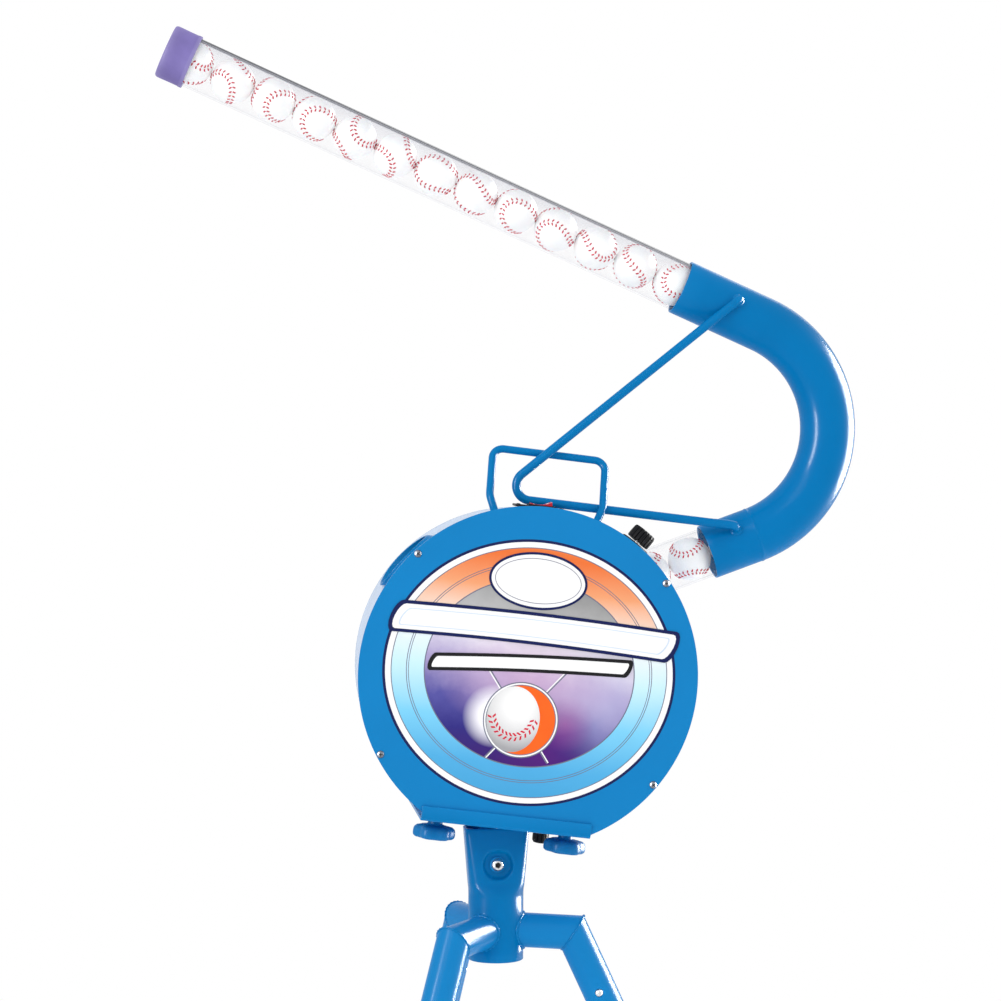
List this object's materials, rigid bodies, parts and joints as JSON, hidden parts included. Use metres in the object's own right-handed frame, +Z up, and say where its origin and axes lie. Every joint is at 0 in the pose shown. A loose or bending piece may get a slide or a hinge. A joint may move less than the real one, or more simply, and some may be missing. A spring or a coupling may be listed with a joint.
{
  "type": "baseball pitching machine",
  "caption": "Round-drum pitching machine for small training balls, on a three-legged stand, with a clear ball tube and curved feed pipe.",
  "frame": {"origin": "on the floor, at the middle of the machine's footprint box", "axes": "+Z up, +X towards the feed pipe's bend, -X the throwing direction, -Y the decorated front plate"},
  "size_m": [0.7528, 0.7688, 1.5891],
  "materials": {
    "machine_blue": "gloss powder coat",
    "foot_rubber": "matt",
    "bright_steel": "bright",
    "zinc_steel": "zinc plated",
    "label_print": "printed vinyl",
    "black_plastic": "fine texture",
    "red_plastic": "gloss",
    "blue_plastic": "moulded",
    "clear_plastic": "clear",
    "pad_rubber": "matt",
    "cast_aluminium": "turned",
    "tyre_rubber": "matt",
    "copper_winding": "enamelled wire",
    "magnet_ferrite": "ferrite",
    "motor_paint": "satin",
    "white_nylon": "moulded",
    "board_green": "coated board",
    "ball_white": "soft skin",
    "cap_purple": "soft vinyl"
  },
  "bodies": {
    "stand": {"head_post": "machine_blue", "leg_arm_right": "machine_blue", "leg_arm_front": "machine_blue", "leg_arm_rear": "machine_blue", "leg_right": "machine_blue", "leg_front": "machine_blue", "leg_rear": "machine_blue", "foot_right": "foot_rubber", "foot_front": "foot_rubber", "foot_rear": "foot_rubber", "button_springs": "zinc_steel", "pivot_bolt": "bright_steel", "pivot_nut": "zinc_steel", "pivot_washers": "zinc_steel"},
    "machine": {"base_tray": "machine_blue", "tilt_lug": "machine_blue", "drum_foot": "machine_blue", "drum_shell": "machine_blue", "front_plate": "machine_blue", "rear_plate": "machine_blue", "plate_screws": "zinc_steel", "face_label": "label_print", "carry_handle": "machine_blue", "switch_body": "black_plastic", "dial_base": "black_plastic", "potentiometer": "zinc_steel", "inlet_neck": "clear_plastic", "exit_nozzle": "machine_blue", "pressure_shoe": "zinc_steel", "pressure_pad": "pad_rubber", "motor_bearings": "bright_steel", "motor_magnets": "magnet_ferrite", "motor_housing": "motor_paint", "motor_bracket": "zinc_steel", "feed_gearmotor": "motor_paint", "control_board": "board_green", "board_standoffs": "zinc_steel", "cord_gland": "black_plastic", "feed_pipe": "machine_blue", "pipe_sleeve": "machine_blue", "brace_rod": "machine_blue", "ball_tube": "clear_plastic", "balls": "ball_white"},
    "snap_right": {"snap_button_right": "bright_steel"},
    "snap_front": {"snap_button_front": "bright_steel"},
    "snap_rear": {"snap_button_rear": "bright_steel"},
    "throwing_wheel": {"wheel_hub": "cast_aluminium", "wheel_tyre": "tyre_rubber", "motor_shaft": "bright_steel", "motor_armature": "copper_winding"},
    "feed_wheel": {"feed_star": "white_nylon", "feed_shaft": "bright_steel"},
    "speed_dial": {"speed_knob": "black_plastic", "pot_shaft": "bright_steel"},
    "rocker": {"power_rocker": "red_plastic"},
    "left_clamp": {"left_clamp_knob": "blue_plastic", "left_clamp_stud": "zinc_steel"},
    "right_clamp": {"right_clamp_knob": "blue_plastic", "right_clamp_stud": "zinc_steel"},
    "tube_cap": {"end_cap": "cap_purple"}
  },
  "joints": [
    {"name": "tilt_pivot", "type": "hinge", "parent": "stand", "child": "machine", "pos_m": [-0.06493, -0.03362, 0.827], "axis": [0, 1, 0], "range_deg": [-18, 4]},
    {"name": "wheel_spin", "type": "hinge", "parent": "machine", "child": "throwing_wheel", "pos_m": [-0.04318, -0.03362, 1.00417], "axis": [0, -1, 0], "continuous": true},
    {"name": "feed_spin", "type": "hinge", "parent": "machine", "child": "feed_wheel", "pos_m": [0.0607, -0.03362, 1.05747], "axis": [0, -1, 0], "continuous": true},
    {"name": "speed_turn", "type": "hinge", "parent": "machine", "child": "speed_dial", "pos_m": [0.0601, -0.07862, 1.12638], "axis": [-0.6455, 0, -0.7638], "range_deg": [0, 270]},
    {"name": "power_rock", "type": "hinge", "parent": "machine", "child": "rocker", "pos_m": [-0.02998, -0.07962, 1.15267], "axis": [0, 1, 0], "range_deg": [0, 16]},
    {"name": "left_clamp_turn", "type": "hinge", "parent": "machine", "child": "left_clamp", "pos_m": [-0.12498, -0.06862, 0.86309], "axis": [-0.1219, 0, -0.9925], "range_deg": [0, 720]},
    {"name": "right_clamp_turn", "type": "hinge", "parent": "machine", "child": "right_clamp", "pos_m": [-0.00588, -0.06862, 0.84846], "axis": [-0.1219, 0, -0.9925], "range_deg": [0, 720]},
    {"name": "cap_pull", "type": "slide", "parent": "machine", "child": "tube_cap", "axis": [-0.9135, 0, 0.4067], "range_m": [0, 0.035]},
    {"name": "snap_right_press", "type": "slide", "parent": "stand", "child": "snap_right", "axis": [0.1564, 0.9877, 0], "range_m": [0, 0.0045], "stiffness_N_per_m": 900, "springref_m": -0.002},
    {"name": "snap_front_press", "type": "slide", "parent": "stand", "child": "snap_front", "axis": [0.7771, -0.6293, 0], "range_m": [0, 0.0045], "stiffness_N_per_m": 900, "springref_m": -0.002},
    {"name": "snap_rear_press", "type": "slide", "parent": "stand", "child": "snap_rear", "axis": [-0.9336, -0.3584, 0], "range_m": [0, 0.0045], "stiffness_N_per_m": 900, "springref_m": -0.002}
  ]
}
